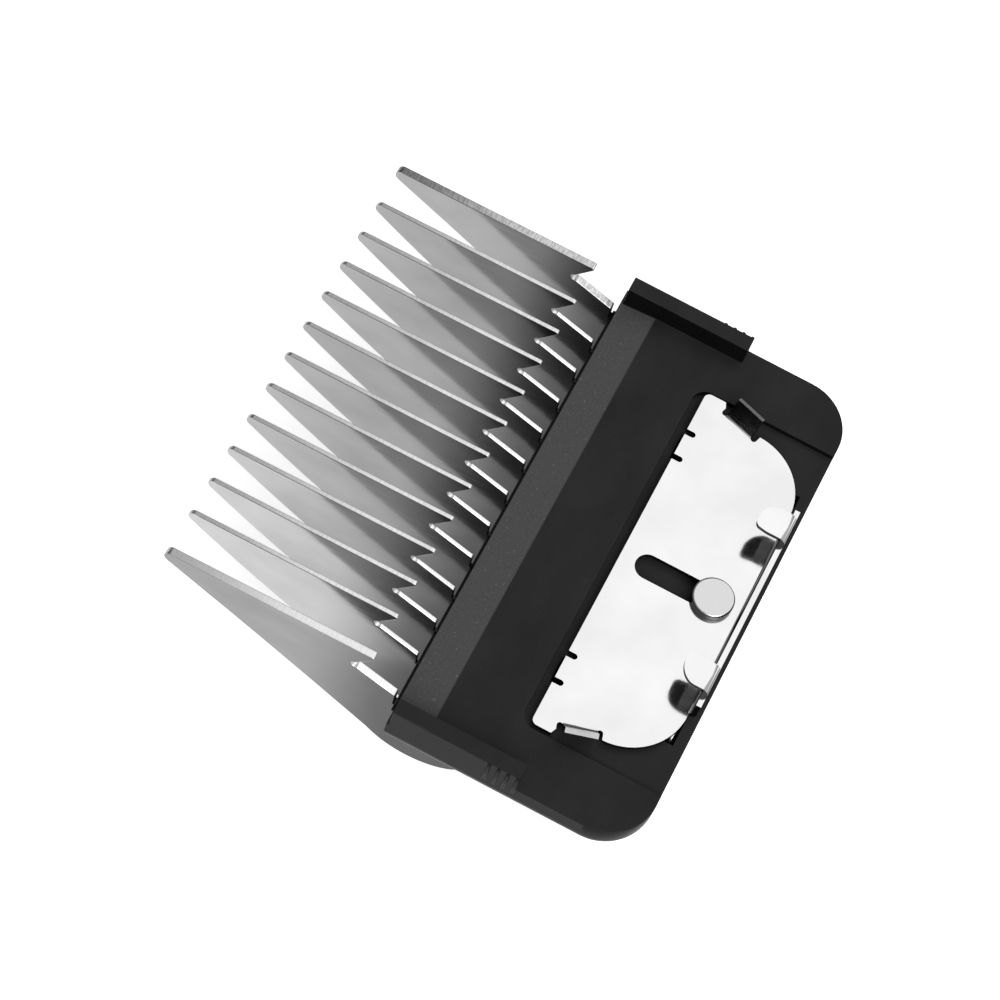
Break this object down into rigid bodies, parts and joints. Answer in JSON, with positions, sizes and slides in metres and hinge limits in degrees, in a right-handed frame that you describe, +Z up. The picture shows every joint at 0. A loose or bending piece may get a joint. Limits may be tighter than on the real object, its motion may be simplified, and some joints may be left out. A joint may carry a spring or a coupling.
{
  "type": "clipper attachment comb",
  "caption": "Steel-finned attachment comb for a detachable-blade hair clipper, with a sprung sheet-steel carriage that clamps the blade to its moulded tray.",
  "frame": {"origin": "under the middle of the comb's outline, level with the lowest point of the fin keels", "axes": "+X along the row of fins, +Y from the fin tips to the heel, +Z up out of the blade seat"},
  "size_m": [0.0524, 0.0494, 0.0156],
  "materials": {
    "fin_steel": "fine brushed stainless sheet, bright cut edges",
    "tray_plastic": "black moulded plastic with a fine satin grain",
    "carriage_steel": "bright polished stainless sheet",
    "pin_steel": "turned bright steel",
    "spring_steel": "drawn spring wire"
  },
  "bodies": {
    "comb": {"tray": "tray_plastic", "fin_01": "fin_steel", "fin_02": "fin_steel", "fin_03": "fin_steel", "fin_04": "fin_steel", "fin_05": "fin_steel", "fin_06": "fin_steel", "fin_07": "fin_steel", "fin_08": "fin_steel", "fin_09": "fin_steel", "fin_10": "fin_steel", "fin_11": "fin_steel", "fin_12": "fin_steel", "fin_13": "fin_steel", "guide_pin": "pin_steel", "pin_washer": "pin_steel", "spring_left": "spring_steel", "spring_right": "spring_steel"},
    "carriage": {"spring_carriage": "carriage_steel"}
  },
  "joints": [
    {"name": "carriage_slide", "type": "slide", "parent": "comb", "child": "carriage", "axis": [0, 1, 0], "range_m": [0, 0.0066], "stiffness_N_per_m": 600, "springref_m": -0.006, "deforming": ["spring_left", "spring_right"]}
  ]
}
